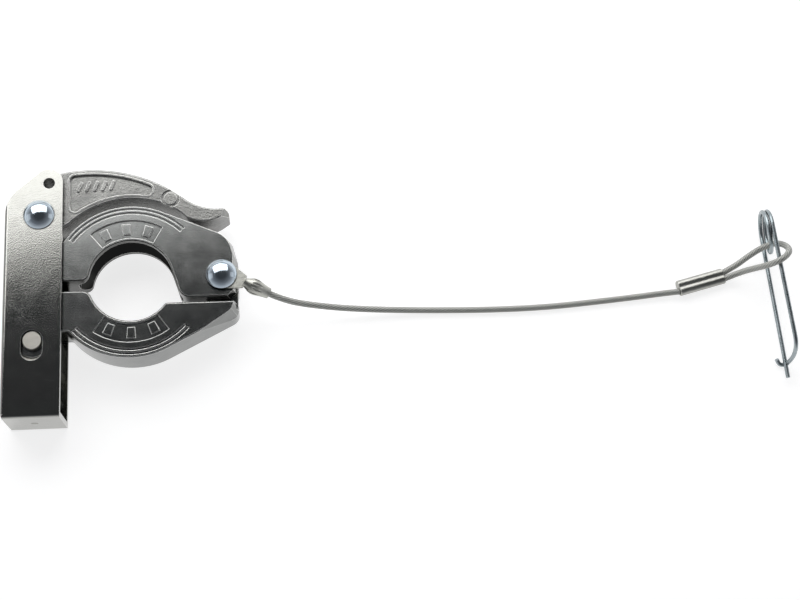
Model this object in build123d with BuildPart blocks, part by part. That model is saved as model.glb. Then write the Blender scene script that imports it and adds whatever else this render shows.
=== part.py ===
from build123d import *
from math import acos, atan2, cos, degrees, hypot, pi, radians, sin, sqrt, tan
import os

os.makedirs("parts", exist_ok=True)

# The lock lies on its back. X runs from the draw channel towards the lanyard, Y runs up
# the channel and Z points out of the front face. The origin is the middle of the clamping
# bore, and the surface it lies on is at the channel's back. All sizes are in millimetres.

# ---- jaws
bore_radius = 16.0  # lips of the clamping bore
groove_radius = 20.2  # floor of the wedge groove between the lips
jaw_radius = 30.4
jaw_back, jaw_front = -8.0, 8.0
lip_width = 2.2
groove_floor_width = 5.0
jaw_right = 40.6
upper_jaw_floor = 0.5  # underside of the upper jaw's left arm
lower_jaw_top = -3.6  # top of the lower jaw's left arm
ear_bottom = -7.3  # underside of the upper jaw's ears
lower_shoulder = -9.3  # top of the lower jaw beside the hinge
relief_depth = 0.7
edge_break = 0.45

# ---- hinge rivet, and the tongue that it goes through
hinge_x, hinge_y = 34.4, 1.0
shank_radius = 3.175
running_gap = 0.05
tongue_radius = 6.0
tongue_half_width = 3.0
tongue_gap = 0.4

# ---- draw channel
channel_left, channel_right = -47.4, -25.6
channel_bottom, channel_top = -52.5, 45.3
channel_back, channel_front = -10.5, 10.5
sheet = 2.0
bend_radius = 1.4
spine_top = 22.0

# ---- pivot pin, slot and draw spring
pivot_x, pivot_y = -36.2, -23.0
pin_radius = 3.6
slot_radius = 4.0
slot_length = 11.8
eye_radius = 6.5
spring_wire_radius = 0.95
spring_coil_radius = 6.75
spring_pitch = 6.0

# ---- cam lever
lever_x, lever_y = -34.4, 26.6
lever_back, lever_front = -7.9, 7.9
hub_radius = 7.6
nose_reach, nose_radius, nose_angle = 9.7, 2.4, -94
clip_hole_x, clip_hole_y = -30.8, 39.5
clip_hole_radius = 2.2

# ---- rivet heads
head_radius = 5.8
head_height = 3.5
rim_height = 0.5

# ---- lanyard
cable_radius = 1.2
lug_thickness = 1.0
lug_angle = -20.5  # direction of the tongue, seen from the front
lug_fall = 25.0  # how steeply the barrel drops to the table
barrel_distance = 8.6  # from the rivet's axis to the start of the barrel
barrel_length = 11.3
ferrule_face = (217.0, -5.2, -8.5)
ferrule_angle = 14.1
ferrule_length = 19.7
lobe_radius = 1.95
lobe_offset = 1.28

# ---- safety clip
clip_wire_radius = 0.85
clip_coil_radius = 8.34
clip_coil_pitch = 1.85
clip_centre = (254.38, 15.36, -1.15)
clip_yaw = 3.6  # direction of the legs away from -Y
clip_lean = 12.5  # how far the clip leans towards -X


def polar(radius, angle, centre=(0, 0)):
    """The point at this radius and angle, in degrees, about a centre."""
    return (centre[0] + radius * cos(radians(angle)), centre[1] + radius * sin(radians(angle)))


def tangent_point(radius, point, side):
    """Where the tangent from an outside point touches a circle about the bore's axis."""
    turn = degrees(acos(radius / hypot(*point)))
    return polar(radius, degrees(atan2(point[1], point[0])) + side * turn)


def front_edges(part, z):
    """The edges that lie flat in the plane at height z."""
    return part.edges().filter_by(lambda e: abs(e.bounding_box().min.Z - z) < 1e-4
                                  and abs(e.bounding_box().max.Z - z) < 1e-4)


def round_corner(point, radius):
    """Rounds the corner nearest to a point, in the sketch being built."""
    fillet(vertices().sort_by_distance(point)[0], radius)


def slope_side(angle, middle, face):
    """Slopes the front half of the side that faces this direction. The side stands middle
    from the bore's axis at half the jaw's depth, and face from it at the front face."""
    side = Plane(origin=(0, 0, 0), x_dir=(cos(radians(angle)), sin(radians(angle)), 0),
                 z_dir=(sin(radians(angle)), -cos(radians(angle)), 0))
    with BuildSketch(side, mode=Mode.PRIVATE) as waste:
        with BuildLine():
            Polyline((middle, 0), (face, jaw_front), (face, 12), (60, 12), (60, 0), close=True)
        make_face()
    extrude(waste.sketch, amount=60, both=True, mode=Mode.SUBTRACT)


def cut_wedge_groove():
    """Cuts the groove that wedges two flanges together, inside the jaw being built."""
    mouth = (jaw_front - jaw_back) / 2 - lip_width
    floor = groove_floor_width / 2
    with BuildSketch(Plane.XZ) as groove:
        with BuildLine():
            Polyline(
                (bore_radius - 4, -mouth),
                (bore_radius, -mouth),
                (groove_radius, -floor),
                (groove_radius, floor),
                (bore_radius, mouth),
                (bore_radius - 4, mouth),
                close=True,
            )
        make_face()
    revolve(groove.sketch, axis=Axis.Z, mode=Mode.SUBTRACT)


def sector(z, inner, outer, start, stop):
    """The face of a ring sector about the bore, at height z, between two angles."""
    middle = (start + stop) / 2
    with BuildSketch(Plane.XY.offset(z), mode=Mode.PRIVATE) as ring:
        with BuildLine():
            ThreePointArc(polar(outer, start), polar(outer, middle), polar(outer, stop))
            Line(polar(outer, stop), polar(inner, stop))
            ThreePointArc(polar(inner, stop), polar(inner, middle), polar(inner, start))
            Line(polar(inner, start), polar(outer, start))
        make_face()
    return ring.sketch


def jaw_relief(start, stop, rib_start, rib_stop):
    """Cuts the sunken window with its three plain pads, and the two grooves outside it."""
    window = sector(jaw_front, 17.1, 24.4, start, stop)
    extrude(window, amount=-relief_depth, mode=Mode.SUBTRACT)
    pad_half_angle = 4.2
    for k in (1, 3, 5):
        middle = start + (stop - start) * k / 6
        pad = sector(jaw_front - relief_depth, 18.6, 22.9, middle - pad_half_angle,
                     middle + pad_half_angle)
        extrude(pad, amount=relief_depth - 0.15)
    for inner in (26.9, 28.5):
        groove = sector(jaw_front, inner, inner + 0.8, rib_start, rib_stop)
        extrude(groove, amount=-0.5, mode=Mode.SUBTRACT)


# ---------------------------------------------------------------- draw channel
with BuildPart() as channel:
    with BuildSketch(Plane.XZ.offset(-(channel_bottom + bend_radius))):
        with BuildLine():
            Polyline(
                (channel_right, channel_back),
                (channel_left, channel_back),
                (channel_left, channel_front),
                (channel_right, channel_front),
                (channel_right, channel_front - sheet),
                (channel_left + sheet, channel_front - sheet),
                (channel_left + sheet, channel_back + sheet),
                (channel_right, channel_back + sheet),
                close=True,
            )
        make_face()
        fillet(vertices().group_by(Axis.X)[0], bend_radius)
        fillet(vertices().filter_by(lambda v: abs(v.X - channel_left - sheet) < 1e-6), 0.5)
    extrude(amount=-(channel_top - channel_bottom - bend_radius))
    # the plates' top corners, seen from the front
    with BuildSketch(Plane.XY.offset(channel_back)):
        with BuildLine():
            Polyline(
                (channel_right, channel_bottom),
                (channel_right, channel_top),
                (-33.0, channel_top),
                (channel_left, 32.9),
                (channel_left, channel_bottom),
                close=True,
            )
        make_face()
        fillet(vertices().group_by(Axis.Y)[-1], 5.2)
        fillet(vertices().filter_by(lambda v: abs(v.Y - 32.9) < 1e-6), 14)
    extrude(amount=channel_front - channel_back, mode=Mode.INTERSECT)
    # the spine is cut away above the lever's hub, so that the lever can swing over
    with Locations((channel_left + sheet / 2, spine_top + 15, 0)):
        Box(sheet + 0.2, 30, channel_front - channel_back - 2 * sheet, mode=Mode.SUBTRACT)
    # the front plate folds round the bottom and closes it
    with BuildSketch(Plane.YZ.offset(channel_left + 0.8)):
        with BuildLine():
            Polyline(
                (channel_bottom + bend_radius, channel_front),
                (channel_bottom, channel_front),
                (channel_bottom, channel_back + 0.4),
                (channel_bottom + sheet, channel_back + 0.4),
                (channel_bottom + sheet, channel_front - sheet),
                (channel_bottom + bend_radius, channel_front - sheet),
                close=True,
            )
        make_face()
        fillet(vertices().sort_by_distance((channel_bottom, channel_front))[0], 1.2)
    extrude(amount=channel_right - channel_left - 0.8)
    # holes for the lever's rivet, the safety clip and the pivot pin
    with Locations((lever_x, lever_y, 0)):
        Cylinder(shank_radius + running_gap, 60, mode=Mode.SUBTRACT)
    with Locations((clip_hole_x, clip_hole_y, 0)):
        Cylinder(clip_hole_radius, 60, mode=Mode.SUBTRACT)
    with BuildSketch(Plane.XY.offset(channel_back)):
        with Locations((pivot_x, pivot_y + pin_radius + 0.3 - slot_length / 2)):
            SlotOverall(slot_length, 2 * slot_radius, rotation=90)
    extrude(amount=channel_front - channel_back, mode=Mode.SUBTRACT)
    # countersink in the back plate for the rivet's closed end
    with Locations((lever_x, lever_y, channel_back + 0.5)):
        Cone(shank_radius + 1.15, shank_radius + 0.15, 1.0, mode=Mode.SUBTRACT)
    # pressed dimple that centres the spring
    with Locations((pivot_x, channel_bottom - 1.9, 0)):
        Sphere(2.5, mode=Mode.SUBTRACT)
    with BuildSketch(Plane.XZ.offset(-(channel_bottom + sheet))):
        with Locations((pivot_x, 0)):
            Circle(2.4)
    extrude(amount=-0.6, taper=20)
channel.part.label = "channel"
export_step(channel.part, "parts/channel.step")

# ---------------------------------------------------------------- cam lever
nose_centre = polar(nose_reach - nose_radius, nose_angle, (lever_x, lever_y))
back_arc_centre, back_arc_radius = (-15.6, -11.45), 57.3
inner_arc_radius = 33.4
tip_low, tip_end, tip_high = (34.2, 24.9), (37.7, 27.3), (37.5, 28.6)


def back_arc(x):
    """A point on the lever's long back edge."""
    return (x, back_arc_centre[1] + sqrt(back_arc_radius ** 2 - (x - back_arc_centre[0]) ** 2))


with BuildPart() as lever:
    with BuildSketch(Plane.XY.offset(lever_back)):
        with BuildLine():
            hub_top = polar(hub_radius, 150, (lever_x, lever_y))
            hub_low = polar(hub_radius, 200, (lever_x, lever_y))
            nose_left = polar(nose_radius, 190, nose_centre)
            nose_low = polar(nose_radius, 265, nose_centre)
            nose_right = polar(nose_radius, 340, nose_centre)
            inner_start, inner_stop = polar(inner_arc_radius, 135), polar(inner_arc_radius, 55.5)
            lobe_left = (clip_hole_x - 4.4, clip_hole_y)
            lobe_top = back_arc(clip_hole_x + 0.3)
            lobe_middle = polar(4.4, 135, (clip_hole_x, clip_hole_y))
            ThreePointArc(hub_top, polar(hub_radius, 175, (lever_x, lever_y)), hub_low)
            Line(hub_low, nose_left)
            ThreePointArc(nose_left, nose_low, nose_right)
            Line(nose_right, inner_start)
            ThreePointArc(inner_start, polar(inner_arc_radius, 95), inner_stop)
            Line(inner_stop, (21.5, 25.1))
            ThreePointArc((21.5, 25.1), (28, 23.4), tip_low)
            Polyline(tip_low, tip_end, tip_high, (32.0, 28.5))
            ThreePointArc((32.0, 28.5), (26.2, 29.8), back_arc(20.5))
            ThreePointArc(back_arc(20.5), back_arc(-4), lobe_top)
            ThreePointArc(lobe_top, lobe_middle, lobe_left)
            Line(lobe_left, hub_top)
        make_face()
        fillet(vertices(), 0.6)
    extrude(amount=lever_front - lever_back)
    chamfer(front_edges(lever, lever_front), edge_break)
    chamfer(front_edges(lever, lever_back), edge_break)
    # the finger end slopes back from the front face
    finger_end = Plane(origin=(0, 0, 0), x_dir=(cos(radians(-20)), sin(radians(-20)), 0),
                       z_dir=(sin(radians(-20)), -cos(radians(-20)), 0))
    with BuildSketch(finger_end, mode=Mode.PRIVATE) as waste:
        with BuildLine():
            Polyline((26.1, 0), (23.9, lever_front), (23.9, 12), (60, 12), (60, 0), close=True)
        make_face()
    extrude(waste.sketch, amount=60, both=True, mode=Mode.SUBTRACT)
    with Locations((lever_x, lever_y, 0)):
        Cylinder(shank_radius + running_gap, 40, mode=Mode.SUBTRACT)
    with Locations((clip_hole_x, clip_hole_y, 0)):
        Cylinder(clip_hole_radius, 40, mode=Mode.SUBTRACT)
    # sunken panel with a raised rim
    with BuildSketch(mode=Mode.PRIVATE) as panel:
        with Locations(back_arc_centre):
            Circle(back_arc_radius - 2.1)
        Circle(inner_arc_radius + 1.7, mode=Mode.SUBTRACT)
        with Locations((-7.5, 35)):
            Rectangle(31.6, 30, mode=Mode.INTERSECT)
        fillet(vertices(), 2.0)
    with BuildSketch(Plane.XY.offset(lever_front)):
        add(panel.sketch)
        offset(amount=0.7)
    extrude(amount=0.3)
    with BuildSketch(Plane.XY.offset(lever_front + 0.3)):
        add(panel.sketch)
    extrude(amount=-1.1, mode=Mode.SUBTRACT)
    # row of plain slanted bars in the panel
    for k in range(5):
        with BuildSketch(Plane.XY.offset(lever_front - 0.8)):
            with Locations((-19.6 + 3.1 * k, 38.9 + 0.1 * k)):
                SlotOverall(4.4, 1.3, rotation=68)
        extrude(amount=0.6)
    # ring groove near the finger end
    with BuildSketch(Plane.XY.offset(lever_front)):
        with Locations((15.2, 33.1)):
            Circle(3.6)
            Circle(2.5, mode=Mode.SUBTRACT)
    extrude(amount=-0.6, mode=Mode.SUBTRACT)
lever.part.label = "cam_lever"
export_step(lever.part, "parts/cam_lever.step")

# ---------------------------------------------------------------- upper jaw
arm_land = 16.4  # where the cam's nose presses
arm_end = -36.5
land_angle = 180 - 32.65
with BuildPart() as upper_jaw:
    with BuildSketch(Plane.XY.offset(jaw_back)):
        with BuildLine():
            bore_left, bore_right = polar(bore_radius, 178.2), polar(bore_radius, 17)
            land_start = polar(jaw_radius, land_angle)
            shoulder = tangent_point(jaw_radius, (38.4, 16.6), 1)
            ThreePointArc(shoulder, polar(jaw_radius, 100), land_start)
            Polyline(land_start, (arm_end, arm_land), (arm_end, upper_jaw_floor), bore_left)
            ThreePointArc(bore_left, polar(bore_radius, 90), bore_right)
            Polyline(bore_right, (19.0, ear_bottom), (jaw_right, ear_bottom), (jaw_right, 8.0),
                     (38.4, 16.6), shoulder)
        make_face()
        round_corner((arm_end, arm_land), 4)
        round_corner((arm_end, upper_jaw_floor), 2)
        round_corner((19.0, ear_bottom), 4.5)
        round_corner((jaw_right, ear_bottom), 4)
        round_corner((jaw_right, 8.0), 8)
        round_corner((38.4, 16.6), 4)
        round_corner(bore_left, 3)
        round_corner(land_start, 1.0)
    extrude(amount=jaw_front - jaw_back)
    chamfer(front_edges(upper_jaw, jaw_front), edge_break)
    chamfer(front_edges(upper_jaw, jaw_back), edge_break)
    slope_side(0, jaw_right, 38.7)
    slope_side(14, 41.3, 39.95)
    slope_side(30, 41.2, 39.45)
    slope_side(45, 38.5, 36.9)
    slope_side(58, 34.3, 33.2)
    slope_side(-45, 32.2, 30.9)
    cut_wedge_groove()
    jaw_relief(60.4, 128.8, 45.5, 144.0)
    # slot between the two ears, for the lower jaw's tongue
    with BuildSketch(Plane.XY.offset(-tongue_half_width - tongue_gap)):
        with Locations((hinge_x, hinge_y)):
            Circle(tongue_radius + tongue_gap)
        with Locations((hinge_x - tongue_radius - tongue_gap + 10, hinge_y - 6)):
            Rectangle(20, 12)
    extrude(amount=2 * (tongue_half_width + tongue_gap), mode=Mode.SUBTRACT)
    with Locations((hinge_x, hinge_y, 0)):
        Cylinder(shank_radius + running_gap, 40, mode=Mode.SUBTRACT)
upper_jaw.part.label = "upper_jaw"
export_step(upper_jaw.part, "parts/upper_jaw.step")

# ---------------------------------------------------------------- lower jaw
with BuildPart() as lower_jaw:
    with BuildSketch(Plane.XY.offset(jaw_back)):
        with BuildLine():
            bore_left, bore_right = polar(bore_radius, 193), polar(bore_radius, 324.5)
            arm_low = (-23.4, -19.4)
            right_low = tangent_point(jaw_radius, (jaw_right, -13.4), -1)
            eye_low = polar(eye_radius, 268, (pivot_x, pivot_y))
            eye_left = polar(eye_radius, 180, (pivot_x, pivot_y))
            eye_start = polar(eye_radius, 135, (pivot_x, pivot_y))
            eye_right = polar(eye_radius, 350, (pivot_x, pivot_y))
            Polyline(bore_left, (-36.0, lower_jaw_top), (-39.5, -9.0), eye_start)
            ThreePointArc(eye_start, eye_left, eye_low)
            ThreePointArc(eye_low, polar(eye_radius, 310, (pivot_x, pivot_y)), eye_right)
            Polyline(eye_right, (-28.6, -19.4), arm_low)
            Line(arm_low, polar(jaw_radius, 224))
            ThreePointArc(polar(jaw_radius, 224), polar(jaw_radius, 264), right_low)
            Polyline(right_low, (jaw_right, -13.4), (jaw_right, lower_shoulder), bore_right)
            ThreePointArc(bore_right, polar(bore_radius, 260), bore_left)
        make_face()
        round_corner(bore_left, 4)
        round_corner(bore_right, 1.2)
        round_corner((-36.0, lower_jaw_top), 3)
        round_corner((jaw_right, -13.4), 4.5)
        round_corner((jaw_right, lower_shoulder), 0.8)
        round_corner(arm_low, 1.5)
        round_corner(eye_start, 1.0)
        round_corner(eye_right, 1.0)
        round_corner((-28.6, -19.4), 1.0)
        round_corner(polar(jaw_radius, 224), 1.0)
        round_corner((-39.5, -9.0), 1.0)
    extrude(amount=jaw_front - jaw_back)
    chamfer(front_edges(lower_jaw, jaw_front), edge_break)
    chamfer(front_edges(lower_jaw, jaw_back), edge_break)
    slope_side(0, jaw_right, 38.6)
    slope_side(-22, 41.95, 39.7)
    slope_side(-45, 37.55, 35.5)
    slope_side(-56, 33.4, 31.7)
    cut_wedge_groove()
    jaw_relief(235.0, 306.0, 222.0, 318.0)
    # tongue that stands up between the upper jaw's ears
    with BuildSketch(Plane.XY.offset(-tongue_half_width)):
        with Locations((hinge_x, hinge_y)):
            Circle(tongue_radius)
        with Locations((hinge_x, (hinge_y + lower_shoulder - 2) / 2)):
            Rectangle(2 * tongue_radius, hinge_y - lower_shoulder + 2)
    extrude(amount=2 * tongue_half_width)
    with Locations((hinge_x, hinge_y, 0)):
        Cylinder(shank_radius + running_gap, 40, mode=Mode.SUBTRACT)
    with Locations((pivot_x, pivot_y, 0)):
        Cylinder(pin_radius, 40, mode=Mode.SUBTRACT)
lower_jaw.part.label = "lower_jaw"
export_step(lower_jaw.part, "parts/lower_jaw.step")


# ---------------------------------------------------------------- rivets and pin
def domed_head(x, y, z):
    """Adds a domed rivet head whose flat underside is at height z."""
    crown = head_height - rim_height
    dome_radius = (head_radius ** 2 + crown ** 2) / (2 * crown)
    with BuildSketch(Plane.XZ.offset(-y), mode=Mode.PRIVATE) as head:
        with BuildLine():
            Polyline((x, z + head_height), (x, z), (x + head_radius, z),
                     (x + head_radius, z + rim_height))
            RadiusArc((x + head_radius, z + rim_height), (x, z + head_height), -dome_radius)
        make_face()
    revolve(head.sketch, axis=Axis((x, y, 0), (0, 0, 1)))


lug_face = jaw_front + running_gap
with BuildPart() as hinge_rivet:
    hinge_head = lug_face + lug_thickness + running_gap
    domed_head(hinge_x, hinge_y, hinge_head)
    with BuildSketch(Plane.XY.offset(channel_back)):
        with Locations((hinge_x, hinge_y)):
            Circle(4.6)
    extrude(amount=jaw_back - 0.1 - channel_back)
    fillet(front_edges(hinge_rivet, channel_back), 0.9)
    with BuildSketch(Plane.XY.offset(channel_back)):
        with Locations((hinge_x, hinge_y)):
            Circle(shank_radius)
    extrude(amount=hinge_head + 0.5 - channel_back)
hinge_rivet.part.label = "hinge_rivet"
export_step(hinge_rivet.part, "parts/hinge_rivet.step")

with BuildPart() as lever_rivet:
    domed_head(lever_x, lever_y, channel_front)
    with BuildSketch(Plane.XY.offset(channel_back)):
        with Locations((lever_x, lever_y)):
            Circle(shank_radius)
    extrude(amount=channel_front + 0.5 - channel_back)
    with Locations((lever_x, lever_y, channel_back + 0.5)):
        Cone(shank_radius + 1.1, shank_radius + 0.1, 1.0)
lever_rivet.part.label = "lever_rivet"
export_step(lever_rivet.part, "parts/lever_rivet.step")

with BuildPart() as pivot_pin:
    with BuildSketch(Plane.XY.offset(channel_back + 0.5)):
        with Locations((pivot_x, pivot_y)):
            Circle(pin_radius)
    extrude(amount=channel_front - channel_back - 1.0)
    chamfer(pivot_pin.edges().filter_by(GeomType.CIRCLE), 0.3)
pivot_pin.part.label = "pivot_pin"
export_step(pivot_pin.part, "parts/pivot_pin.step")

# ---------------------------------------------------------------- spring and its seat
seat_top, seat_bottom = pivot_y - 5.2, pivot_y - 8.6
spring_top = seat_bottom
spring_bottom = channel_bottom + sheet
with BuildPart() as spring_seat:
    with Locations((pivot_x, (seat_top + seat_bottom) / 2, 0)):
        Box(14.0, seat_top - seat_bottom, 15.6)
    fillet(spring_seat.edges().filter_by(Axis.Y), 3)
    with Locations((pivot_x, pivot_y, 0)):
        Cylinder(eye_radius + 0.15, 40, mode=Mode.SUBTRACT)
    with BuildSketch(Plane.XZ.offset(-seat_bottom)):
        with Locations((pivot_x, 0)):
            Circle(spring_coil_radius - spring_wire_radius - 0.3)
    extrude(amount=4.0, taper=4)
spring_seat.part.label = "spring_seat"
export_step(spring_seat.part, "parts/spring_seat.step")

spring_height = spring_top - spring_bottom - 2 * spring_wire_radius - 0.04
with BuildPart() as spring:
    with BuildLine() as coil:
        Helix(spring_pitch, spring_height, spring_coil_radius,
              center=(pivot_x, spring_bottom + spring_wire_radius + 0.02, 0),
              direction=(0, 1, 0))
    with BuildSketch(Plane(coil.line @ 0, z_dir=coil.line % 0)):
        Circle(spring_wire_radius)
    sweep(is_frenet=True)
spring.part.label = "draw_spring"
export_step(spring.part, "parts/draw_spring.step")

# ---------------------------------------------------------------- ring terminal
lug_across = Vector(-sin(radians(lug_angle)), cos(radians(lug_angle)), 0)
lug_along = Vector(cos(radians(lug_angle)), sin(radians(lug_angle)), 0)
barrel_along = lug_along * cos(radians(lug_fall)) - Vector(0, 0, sin(radians(lug_fall)))
barrel_start = (Vector(hinge_x, hinge_y, lug_face + lug_thickness / 2)
                + lug_along * barrel_distance)
barrel_end = barrel_start + barrel_along * barrel_length
with BuildPart() as terminal:
    with BuildSketch(Plane(Vector(hinge_x, hinge_y, lug_face), x_dir=lug_along, z_dir=(0, 0, 1))):
        Circle(5.25)
        Polygon((1.0, -5.0), (4.6, -4.4), (9.4, -2.5), (9.4, 2.5), (4.6, 4.4), (1.0, 5.0),
                align=None)
        Circle(shank_radius + running_gap, mode=Mode.SUBTRACT)
    extrude(amount=lug_thickness)
    # crimped barrel: narrow neck, swollen middle, open end
    with BuildSketch(Plane(barrel_start, x_dir=barrel_along, z_dir=lug_across)):
        with BuildLine():
            neck = Line((0, 0), (0, 1.7))
            swell = Spline((0, 1.7), (1.4, 1.9), (4.2, 3.05), (7.6, 2.75), (barrel_length, 2.2))
            Polyline(swell @ 1, (barrel_length, 0), neck @ 0)
        make_face()
    revolve(axis=Axis(barrel_start, barrel_along))
    # lengthwise flutes pressed in by the crimp
    with BuildSketch(Plane(barrel_start + barrel_along * 1.5, z_dir=barrel_along)):
        with PolarLocations(3.2, 9):
            Circle(0.55)
    extrude(amount=barrel_length, mode=Mode.SUBTRACT)
terminal.part.label = "ring_terminal"
export_step(terminal.part, "parts/ring_terminal.step")


# ---------------------------------------------------------------- cable and safety clip
def corner_radii(points):
    """The bend radius at each corner of a route: as large as the shorter run there allows."""
    radii = []
    for before, corner, after in zip(points, points[1:], points[2:]):
        run_in = Vector(*corner) - Vector(*before)
        run_out = Vector(*after) - Vector(*corner)
        half_turn = radians(run_in.get_angle(run_out) / 2)
        radii.append(0.45 * min(run_in.length, run_out.length) / tan(half_turn))
    return radii


def add_tube(points, radius, name):
    """Adds a round wire or cable along a route of straight runs joined by arcs."""
    radii = corner_radii(points)
    with BuildLine(mode=Mode.PRIVATE) as route:
        FilletPolyline(*points, radius=radii)
    wire = route.wire()
    with BuildSketch(Plane(wire @ 0, z_dir=wire % 0), mode=Mode.PRIVATE) as section:
        Circle(radius)
    sweep(section.sketch, path=wire)
    print(name, "length", round(wire.length, 1), "section x length",
          round(wire.length * pi * radius ** 2, 1), "bend radii", [round(r, 1) for r in radii])


ferrule_along = Vector(cos(radians(ferrule_angle)), sin(radians(ferrule_angle)), 0)
ferrule_across = Vector(-sin(radians(ferrule_angle)), cos(radians(ferrule_angle)), 0)
ferrule_far = Vector(*ferrule_face) + ferrule_along * ferrule_length
main_route = [
    tuple(barrel_end),
    (58.4, -7.8, 0.8),
    (69.0, -8.9, -3),
    (84.0, -9.8, -6.4),
    (102.0, -10.3, -8.6),
    (122.0, -10.9, -9.25),
    (143.0, -11.3, -9.28),
    (164.0, -10.9, -9.28),
    (184.0, -9.3, -9.28),
    (200.0, -7.9, -9.2),
    (210.0, -6.9, -8.9),
    tuple(Vector(*ferrule_face) - ferrule_across * lobe_offset),
]
with BuildPart() as cable:
    add_tube(main_route, cable_radius, "cable_main")
cable.part.label = "cable_main"
export_step(cable.part, "parts/cable_main.step")

with BuildPart() as ferrule:
    with BuildSketch(Plane(Vector(*ferrule_face), x_dir=ferrule_across, z_dir=ferrule_along)):
        with Locations((-lobe_offset, 0), (lobe_offset, 0)):
            Circle(lobe_radius)
        Rectangle(2 * lobe_offset, 3.1)
    extrude(amount=ferrule_length)
    chamfer(ferrule.faces().sort_by(Axis(ferrule_face, ferrule_along))[0].edges(), 0.25)
    chamfer(ferrule.faces().sort_by(Axis(ferrule_face, ferrule_along))[-1].edges(), 0.25)
ferrule.part.label = "loop_ferrule"
export_step(ferrule.part, "parts/loop_ferrule.step")

loop_route = [
    tuple(ferrule_far + ferrule_across * lobe_offset),
    (241.0, 3.1, -7.9),
    (247.0, 7.0, -6.1),
    (252.7, 9.9, -3.5),
    (257.5, 10.3, 0.1),
    (260.1, 7.3, 3.9),
    (259.0, 3.3, 7.9),
    (254.0, -0.6, 10.3),
    (249.9, -0.9, 4.7),
    (245.5, -0.0, -2.1),
    (241.2, -0.2, -6.7),
    tuple(ferrule_far - ferrule_across * lobe_offset),
]
with BuildPart() as loop:
    add_tube(loop_route, cable_radius, "cable_loop")
loop.part.label = "cable_loop"
export_step(loop.part, "parts/cable_loop.step")

# the clip's own directions: along its legs, out of its plane, and up from leg to leg
leg_along = Vector(sin(radians(clip_yaw)), -cos(radians(clip_yaw)), 0)
level = Vector(cos(radians(clip_yaw)), sin(radians(clip_yaw)), 0)
clip_out = level * cos(radians(clip_lean)) + Vector(0, 0, sin(radians(clip_lean)))
clip_up = Vector(0, 0, cos(radians(clip_lean))) - level * sin(radians(clip_lean))
corners_per_turn = 12
corner_distance = clip_coil_radius / cos(pi / corners_per_turn)
coil_turns = 1.5
coil_route = []
for k in range(int(coil_turns * corners_per_turn)):
    turns = (k + 0.5) / corners_per_turn
    around = 2 * pi * turns
    offset_out = clip_coil_pitch * (turns - coil_turns / 2)
    corner = (Vector(*clip_centre) - clip_up * corner_distance * cos(around)
              - leg_along * corner_distance * sin(around) + clip_out * offset_out)
    coil_route.append(tuple(corner))
lower_tip = (256.9, -44.0, -7.5)
hook_route = [
    (257.3, -33.9, 5.7),
    (258.2, -37.0, -1.9),
    (257.3, -38.4, -8.9),
    (254.9, -38.2, -9.58),
    (253.5, -36.3, -8.2),
]
with BuildPart() as clip:
    add_tube([lower_tip] + coil_route + hook_route, clip_wire_radius, "safety_clip")
clip.part.label = "safety_clip"
export_step(clip.part, "parts/safety_clip.step")
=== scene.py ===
from math import cos, pi, radians, sin

import bpy
import numpy as np
from mathutils import Euler, Matrix, Vector


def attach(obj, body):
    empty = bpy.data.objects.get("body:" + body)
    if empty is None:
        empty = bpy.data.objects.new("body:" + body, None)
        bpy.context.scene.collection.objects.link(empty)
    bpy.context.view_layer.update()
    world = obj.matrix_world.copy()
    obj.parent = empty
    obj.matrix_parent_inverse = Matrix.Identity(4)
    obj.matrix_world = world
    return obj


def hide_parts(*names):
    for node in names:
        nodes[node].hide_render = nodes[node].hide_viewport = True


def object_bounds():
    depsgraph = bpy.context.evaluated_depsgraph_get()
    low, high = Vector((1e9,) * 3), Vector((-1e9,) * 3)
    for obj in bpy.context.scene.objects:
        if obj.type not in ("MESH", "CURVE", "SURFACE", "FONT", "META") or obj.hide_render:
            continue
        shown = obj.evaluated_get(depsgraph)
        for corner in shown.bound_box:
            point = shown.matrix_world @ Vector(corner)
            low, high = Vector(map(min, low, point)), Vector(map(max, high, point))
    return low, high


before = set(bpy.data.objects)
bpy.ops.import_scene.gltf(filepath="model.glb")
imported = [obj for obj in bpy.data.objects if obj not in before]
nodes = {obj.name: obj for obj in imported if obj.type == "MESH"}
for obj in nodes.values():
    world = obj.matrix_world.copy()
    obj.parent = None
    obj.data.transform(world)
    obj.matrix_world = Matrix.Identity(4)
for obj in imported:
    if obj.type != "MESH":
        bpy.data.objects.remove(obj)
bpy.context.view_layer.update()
MM = 0.001


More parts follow.
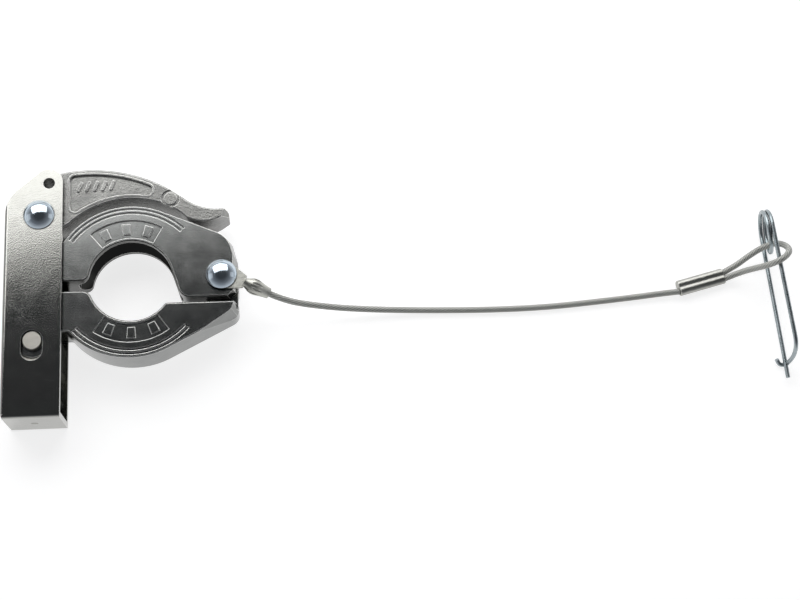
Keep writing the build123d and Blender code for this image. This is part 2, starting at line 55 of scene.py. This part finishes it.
# ------------------------------------------------------------------ node helpers
class Nodes:
    """A material's node tree, with short calls for the nodes used here."""

    def __init__(self, name):
        self.material = bpy.data.materials.new(name)
        self.material.use_nodes = True
        self.tree = self.material.node_tree
        self.shader = self.tree.nodes["Principled BSDF"]
        self.place = self.add("ShaderNodeTexCoord").outputs["Object"]

    def add(self, kind, **settings):
        node = self.tree.nodes.new(kind)
        for key, value in settings.items():
            setattr(node, key, value)
        return node

    def link(self, start, end):
        self.tree.links.new(start, end)

    def separate(self, vector):
        node = self.add("ShaderNodeSeparateXYZ")
        self.link(vector, node.inputs[0])
        return node.outputs

    def noise(self, scale, detail):
        node = self.add("ShaderNodeTexNoise")
        node.inputs["Scale"].default_value = scale
        node.inputs["Detail"].default_value = detail
        node.inputs["Roughness"].default_value = 0.55
        self.link(self.place, node.inputs["Vector"])
        return node.outputs["Fac"]

    def fit(self, value, low, high, to_low, to_high):
        node = self.add("ShaderNodeMapRange")
        limits = {"From Min": low, "From Max": high, "To Min": to_low, "To Max": to_high}
        for key, number in limits.items():
            node.inputs[key].default_value = number
        self.link(value, node.inputs["Value"])
        return node.outputs["Result"]

    def math(self, operation, a, b=0.5):
        node = self.add("ShaderNodeMath", operation=operation)
        for socket, value in zip(node.inputs, (a, b)):
            if isinstance(value, (int, float)):
                socket.default_value = value
            else:
                self.link(value, socket)
        return node.outputs["Value"]

    def mix(self, factor, a, b):
        node = self.add("ShaderNodeMix", data_type="RGBA")
        self.link(factor, node.inputs["Factor"])
        for key, colour in ((6, a), (7, b)):
            if isinstance(colour, tuple):
                node.inputs[key].default_value = (*colour, 1)
            else:
                self.link(colour, node.inputs[key])
        return node.outputs[2]

    def bump(self, height, strength, distance, normal):
        node = self.add("ShaderNodeBump")
        node.inputs["Strength"].default_value = strength
        node.inputs["Distance"].default_value = distance
        self.link(height, node.inputs["Height"])
        self.link(normal, node.inputs["Normal"])
        return node.outputs["Normal"]

    def edge(self, radius):
        """The normal rounded at edges, and a mask that is 1 on them."""
        bevel = self.add("ShaderNodeBevel", samples=6)
        bevel.inputs["Radius"].default_value = radius
        flat = self.add("ShaderNodeNewGeometry").outputs["Normal"]
        dot = self.add("ShaderNodeVectorMath", operation="DOT_PRODUCT")
        self.link(bevel.outputs["Normal"], dot.inputs[0])
        self.link(flat, dot.inputs[1])
        return bevel.outputs["Normal"], self.fit(dot.outputs["Value"], 1.0, 0.95, 0.0, 1.0)


def inner_faces(m):
    """A mask for the clamping bore's wall, and for faces that look down on the jaws' gap: the
    faces painted in shade.
    """
    wall_radius, past_wall = 20.8 * MM, 21.2 * MM
    gap_bottom, gap_top = (-8.5 * MM, -8 * MM), (2 * MM, 3 * MM)
    position = m.separate(m.place)
    across = m.add("ShaderNodeCombineXYZ")
    m.link(position["X"], across.inputs["X"])
    m.link(position["Y"], across.inputs["Y"])
    distance = m.add("ShaderNodeVectorMath", operation="LENGTH")
    m.link(across.outputs[0], distance.inputs[0])
    facing = m.separate(m.add("ShaderNodeNewGeometry").outputs["Normal"])
    upright = m.fit(m.math("ABSOLUTE", facing["Z"]), 0.85, 0.97, 1, 0)
    near = m.fit(distance.outputs["Value"], wall_radius, past_wall, 1, 0)
    gap = m.math("MULTIPLY", m.fit(position["Y"], *gap_bottom, 0, 1),
                 m.fit(position["Y"], *gap_top, 1, 0))
    underside = m.math("MULTIPLY", gap, m.fit(facing["Y"], -0.3, -0.6, 0, 1))
    return m.math("MAXIMUM", m.math("MULTIPLY", upright, near), underside)


def plated(name, dark, light, roughness, edge_light, edge_radius, grains, inner_shade=None):
    """Plated metal: cloudy tone, bright edges that are part worn plating and part painted
    highlight, painted shade in hollows, and bump grains.

    Each grain is (scale, strength, distance). The last argument is the colour of painted shade
    on the faces that inner_faces picks, if the piece has any."""
    hollow_reach, hollow_shade = 1.3 * MM, 0.3
    wear_and_highlight_tone, worn_roughness = 0.9, 0.35
    m = Nodes(name)
    m.shader.inputs["Metallic"].default_value = 1.0
    normal, wear_and_highlight = m.edge(edge_radius)
    cloud = m.noise(160, 4)
    fine = m.noise(2600, 2)
    tone = m.mix(m.fit(cloud, 0.35, 0.65, 0, 1), dark, light)
    # painted shade: the tone darkens to a fraction of dark where ambient occlusion finds a
    # hollow
    hollow = m.add("ShaderNodeAmbientOcclusion", samples=8)
    hollow.inputs["Distance"].default_value = hollow_reach
    open_sky = m.fit(hollow.outputs["AO"], 0.35, 0.85, 0.0, 1.0)
    tone = m.mix(open_sky, tuple(c * hollow_shade for c in dark), tone)
    # painted shade: the bore wall and the gap's undersides take the dark inner colour
    if inner_shade:
        tone = m.mix(inner_faces(m), tone, inner_shade)
    # edges take a bright colour, part worn plating and part painted highlight
    tone = m.mix(m.math("MULTIPLY", wear_and_highlight, wear_and_highlight_tone), tone, edge_light)
    m.link(tone, m.shader.inputs["Base Color"])
    blend = m.math("ADD", m.math("MULTIPLY", cloud, 0.5), m.math("MULTIPLY", fine, 0.5))
    smooth, dull = roughness
    rough = m.fit(blend, 0.35, 0.65, smooth, dull)
    rough = m.math("ADD", rough, m.math("MULTIPLY", wear_and_highlight, worn_roughness))
    m.link(rough, m.shader.inputs["Roughness"])
    for scale, strength, distance in grains:
        normal = m.bump(m.noise(scale, 2), strength, distance, normal)
    m.link(normal, m.shader.inputs["Normal"])
    return m.material


# ------------------------------------------------------------------ materials
channel_plate = plated(
    "channel_plate", dark=(0.335, 0.335, 0.315), light=(0.365, 0.365, 0.345),
    roughness=(0.08, 0.12), edge_light=(0.9, 0.9, 0.87), edge_radius=0.18 * MM,
    grains=((2600, 0.30, 0.08 * MM),))
# the jaws' bore wall and gap undersides are painted near black as shade
jaw_cast = plated(
    "jaw_cast", dark=(0.205, 0.21, 0.205), light=(0.24, 0.245, 0.24),
    roughness=(0.15, 0.21), edge_light=(0.98, 0.98, 0.95), edge_radius=0.35 * MM,
    grains=((2100, 0.10, 0.12 * MM),), inner_shade=(0.045, 0.045, 0.042))
lever_cast = plated(
    "lever_cast", dark=(0.17, 0.17, 0.165), light=(0.24, 0.24, 0.23),
    roughness=(0.20, 0.30), edge_light=(0.98, 0.98, 0.95), edge_radius=0.35 * MM,
    grains=((1900, 0.45, 0.2 * MM), (900, 0.2, 0.3 * MM)))
rivet_zinc = plated(
    "rivet_zinc", dark=(0.50, 0.58, 0.65), light=(0.58, 0.65, 0.71),
    roughness=(0.10, 0.17), edge_light=(0.85, 0.9, 0.93), edge_radius=0.2 * MM,
    grains=((900, 0.1, 0.2 * MM),))
pin_end = plated(
    "pin_end", dark=(0.42, 0.41, 0.37), light=(0.52, 0.50, 0.46),
    roughness=(0.38, 0.5), edge_light=(0.8, 0.78, 0.72), edge_radius=0.2 * MM,
    grains=((1800, 0.4, 0.2 * MM),))
spring_wire = plated(
    "spring_wire", dark=(0.10, 0.10, 0.10), light=(0.17, 0.17, 0.17),
    roughness=(0.3, 0.42), edge_light=(0.3, 0.3, 0.3), edge_radius=0.1 * MM,
    grains=((2500, 0.2, 0.1 * MM),))
lug_tin = plated(
    "lug_tin", dark=(0.42, 0.42, 0.385), light=(0.52, 0.52, 0.48),
    roughness=(0.34, 0.46), edge_light=(0.8, 0.8, 0.75), edge_radius=0.2 * MM,
    grains=((1500, 0.3, 0.2 * MM), (500, 0.2, 0.4 * MM)))
ferrule_nickel = plated(
    "ferrule_nickel", dark=(0.34, 0.34, 0.315), light=(0.43, 0.43, 0.40),
    roughness=(0.28, 0.38), edge_light=(0.85, 0.85, 0.8), edge_radius=0.2 * MM,
    grains=((900, 0.25, 0.3 * MM),))
clip_zinc = plated(
    "clip_zinc", dark=(0.27, 0.31, 0.325), light=(0.36, 0.40, 0.415),
    roughness=(0.24, 0.34), edge_light=(0.7, 0.75, 0.78), edge_radius=0.1 * MM,
    grains=((1600, 0.2, 0.1 * MM),))

# the cable's strands rise to the right, so their lay is a left-hand one
STRANDS, LAY = 8, -13 * MM
CABLE_RADIUS = 1.2 * MM
AROUND = 2 * pi * CABLE_RADIUS


def strand_material():
    """Steel strands under a clear plastic coat. The tube's UV runs along it and round it."""
    # painted shade: the valleys between strands are dark and the crests lighter
    valley, crest_light = (0.12, 0.12, 0.11), (0.44, 0.445, 0.415)
    grime = (0.30, 0.30, 0.275)
    m = Nodes("coated_strands")
    m.shader.inputs["Metallic"].default_value = 0.1
    m.shader.inputs["Coat Weight"].default_value = 0.3
    m.shader.inputs["Coat Roughness"].default_value = 0.3
    uv = m.separate(m.add("ShaderNodeTexCoord").outputs["UV"])
    turn = m.math("SUBTRACT", m.math("MULTIPLY", uv["Y"], STRANDS),
                  m.math("MULTIPLY", uv["X"], STRANDS * AROUND / LAY))
    crest = m.math("ABSOLUTE", m.math("SINE", m.math("MULTIPLY", turn, pi)))
    cloud = m.noise(900, 3)
    tone = m.mix(m.fit(crest, 0.1, 0.75, 0, 1), valley, crest_light)
    tone = m.mix(m.fit(cloud, 0.4, 0.7, 0, 0.25), tone, grime)
    m.link(tone, m.shader.inputs["Base Color"])
    m.link(m.fit(cloud, 0.3, 0.7, 0.4, 0.55), m.shader.inputs["Roughness"])
    return m.material


cable_strands = strand_material()

for look, names in (
    (channel_plate, ("channel",)),
    (jaw_cast, ("lower_jaw", "upper_jaw")),
    (lever_cast, ("cam_lever",)),
    (rivet_zinc, ("hinge_rivet", "lever_rivet")),
    (pin_end, ("pivot_pin", "spring_seat")),
    (spring_wire, ("draw_spring",)),
    (lug_tin, ("ring_terminal",)),
    (ferrule_nickel, ("loop_ferrule",)),
    (clip_zinc, ("safety_clip",)),
):
    for name in names:
        slots = nodes[name].data.materials
        for k in range(len(slots)):
            slots[k] = look


# ------------------------------------------------------------------ cables
# sizes and places here are in millimetres, from the middle of the clamping bore
hinge_x, hinge_y, lug_height = 34.4, 1.0, 8.55
lug_angle, lug_fall, barrel_distance, barrel_length = radians(-20.5), radians(25), 8.6, 11.3
reach = barrel_distance + barrel_length * cos(lug_fall)
barrel_end = (hinge_x + reach * cos(lug_angle), hinge_y + reach * sin(lug_angle),
              lug_height - barrel_length * sin(lug_fall))
ferrule_angle, ferrule_length, lobe_offset = radians(14.1), 19.7, 1.28
near_face = Vector((217.0, -5.2, -8.5))
along_ferrule = Vector((cos(ferrule_angle), sin(ferrule_angle), 0))
far_face = near_face + ferrule_length * along_ferrule
across = Vector((-sin(ferrule_angle), cos(ferrule_angle), 0)) * lobe_offset
main_route = [
    barrel_end,
    (58.4, -7.8, 0.8),
    (69.0, -8.9, -3),
    (84.0, -9.8, -6.4),
    (102.0, -10.3, -8.6),
    (122.0, -10.9, -9.25),
    (143.0, -11.3, -9.28),
    (164.0, -10.9, -9.28),
    (184.0, -9.3, -9.28),
    (200.0, -7.9, -9.2),
    (210.0, -6.9, -8.9),
    tuple(near_face - across),
]
loop_route = [
    tuple(far_face + across),
    (241.0, 3.1, -7.9),
    (247.0, 7.0, -6.1),
    (252.7, 9.9, -3.5),
    (257.5, 10.3, 0.1),
    (260.1, 7.3, 3.9),
    (259.0, 3.3, 7.9),
    (254.0, -0.6, 10.3),
    (249.9, -0.9, 4.7),
    (245.5, 0.0, -2.1),
    (241.2, -0.2, -6.7),
    tuple(far_face - across),
]


def spline_points(route):
    """Points along the smooth line that a route in millimetres steers, in metres."""
    curve = bpy.data.curves.new("route", "CURVE")
    curve.dimensions = "3D"
    curve.resolution_u = 40
    spline = curve.splines.new("NURBS")
    spline.points.add(len(route) - 1)
    for point, place in zip(spline.points, route):
        point.co = (*(c * MM for c in place), 1)
    spline.order_u = 3
    spline.use_endpoint_u = True
    holder = bpy.data.objects.new("route", curve)
    bpy.context.scene.collection.objects.link(holder)
    bpy.context.view_layer.update()
    evaluated = holder.evaluated_get(bpy.context.evaluated_depsgraph_get())
    line = bpy.data.meshes.new_from_object(evaluated)
    found = np.array([v.co for v in line.vertices])
    bpy.data.objects.remove(holder)
    bpy.data.meshes.remove(line)
    return found


def evenly(points, step):
    """The same line with a point every step or so, and how far along each one is."""
    runs = np.linalg.norm(np.diff(points, axis=0), axis=1)
    lengths = np.concatenate([[0], np.cumsum(runs)])
    along = np.linspace(0, lengths[-1], max(2, round(lengths[-1] / step)) + 1)
    return np.stack([np.interp(along, lengths, points[:, k]) for k in range(3)], axis=1), along


def strand_tube(name, route, body, node):
    """A cable whose strands show as shallow twisted lobes, along the route's spline."""
    step, sides = 0.35 * MM, 56
    valley, lobe_height, lobe_fullness = 0.96, 0.09, 0.6
    points, along = evenly(spline_points(route), step)
    tangents = np.gradient(points, axis=0)
    tangents /= np.linalg.norm(tangents, axis=1)[:, None]
    side = np.cross(tangents[0], (0, 0, 1.0))
    angles = np.arange(sides) * 2 * pi / sides
    rings, normal = [], side / np.linalg.norm(side)
    for place, tangent, distance in zip(points, tangents, along):
        normal = normal - tangent * (normal @ tangent)
        normal /= np.linalg.norm(normal)
        other = np.cross(tangent, normal)
        crest = np.abs(np.sin((angles - 2 * pi * distance / LAY) * STRANDS / 2))
        radius = CABLE_RADIUS * (valley + lobe_height * crest ** lobe_fullness)
        rings.append(place + radius[:, None] * (np.cos(angles)[:, None] * normal
                                                + np.sin(angles)[:, None] * other))
    count = len(rings)
    faces = [(i * sides + j, i * sides + (j + 1) % sides, (i + 1) * sides + (j + 1) % sides,
              (i + 1) * sides + j) for i in range(count - 1) for j in range(sides)]
    caps = [tuple(reversed(range(sides))), tuple((count - 1) * sides + j for j in range(sides))]
    mesh = bpy.data.meshes.new(name)
    mesh.from_pydata(np.concatenate(rings).tolist(), [], faces + caps)
    uv = mesh.uv_layers.new(name="UVMap")
    for face in mesh.polygons:
        face.use_smooth = True
        closes_ring = face.index < len(faces) and face.index % sides == sides - 1
        for loop in face.loop_indices:
            vertex = mesh.loops[loop].vertex_index
            j = vertex % sides
            if closes_ring and j == 0:
                j = sides
            uv.data[loop].uv = (along[vertex // sides] / AROUND, j / sides)
    mesh.materials.append(cable_strands)
    tube = bpy.data.objects.new(name, mesh)
    bpy.context.scene.collection.objects.link(tube)
    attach(tube, body)
    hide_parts(node)
    return tube, points


main_cable, main_path = strand_tube("main_cable", main_route, "lanyard", "cable_main")
loop_cable, loop_path = strand_tube("loop_cable", loop_route, "lanyard", "cable_loop")


# ------------------------------------------------------------------ floor, light, camera
floor_reach, floor_gap = 3, 0.02 * MM
corners = [(-1, -1), (1, -1), (1, 1), (-1, 1)]
floor_mesh = bpy.data.meshes.new("floor")
floor_mesh.from_pydata([(x * floor_reach, y * floor_reach, 0) for x, y in corners], [],
                       [(0, 1, 2, 3)])
floor = bpy.data.objects.new("floor", floor_mesh)
floor.location.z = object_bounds()[0][2] - floor_gap
bpy.context.scene.collection.objects.link(floor)
paper = Nodes("paper")
paper.link(paper.mix(paper.noise(9, 2), (0.40, 0.40, 0.40), (0.42, 0.42, 0.42)),
           paper.shader.inputs["Base Color"])
paper.shader.inputs["Roughness"].default_value = 0.9
paper.shader.inputs["Emission Color"].default_value = (1, 1, 1, 1)
paper.shader.inputs["Emission Strength"].default_value = 0.78
paper.shader.inputs["Specular IOR Level"].default_value = 0.1
floor_mesh.materials.append(paper.material)

# the studio is light at the horizon and darkens overhead
world = bpy.data.worlds.new("studio")
bpy.context.scene.world = world
world.use_nodes = True
sky = world.node_tree
direction = sky.nodes.new("ShaderNodeTexCoord").outputs["Generated"]
split = sky.nodes.new("ShaderNodeSeparateXYZ")
sky.links.new(direction, split.inputs[0])
height = sky.nodes.new("ShaderNodeValToRGB")
height.color_ramp.elements[0].position = 0.0
height.color_ramp.elements[0].color = (0.75, 0.76, 0.78, 1)
height.color_ramp.elements[1].position = 0.9
height.color_ramp.elements[1].color = (0.055, 0.058, 0.062, 1)
middle = height.color_ramp.elements.new(0.5)
middle.color = (0.22, 0.225, 0.24, 1)
sky.links.new(split.outputs["Z"], height.inputs[0])
sky.links.new(height.outputs["Color"], sky.nodes["Background"].inputs["Color"])
sky.nodes["Background"].inputs["Strength"].default_value = 1.0


def softbox(name, place, target, width, length, power):
    light = bpy.data.lights.new(name, "AREA")
    light.shape = "RECTANGLE"
    light.size, light.size_y = width, length
    light.energy = power
    lamp = bpy.data.objects.new(name, light)
    lamp.location = place
    lamp.rotation_euler = (Vector(target) - Vector(place)).to_track_quat("-Z", "Y").to_euler()
    bpy.context.scene.collection.objects.link(lamp)


softbox("key", (-0.03, 0.486, 0.379), (0.02, 0.236, 0.0), width=0.95, length=0.6, power=5.1)
softbox("left_fill", (-0.9, 0.0, 0.35), (0.1, 0.0, 0.0), width=0.5, length=0.5, power=0.3)
softbox("right_fill", (1.1, 0.1, 0.45), (0.1, 0.0, 0.0), width=0.5, length=0.5, power=0.3)

# the camera is half a metre over the front face, set off towards -Y, and looks down on it
camera_place = (0.0557, -0.1698, 0.5209)
camera_turn = Euler([radians(angle) for angle in (17.369, -4.204, -3.231)])
camera_data = bpy.data.cameras.new("camera")
camera_data.sensor_width = 36.0
camera_data.lens = 63.0
camera_data.clip_start = 0.01
camera = bpy.data.objects.new("camera", camera_data)
camera.matrix_world = Matrix.LocRotScale(Vector(camera_place), camera_turn, None)
bpy.context.scene.collection.objects.link(camera)
bpy.context.scene.camera = camera
bpy.context.scene.view_settings.view_transform = "Standard"
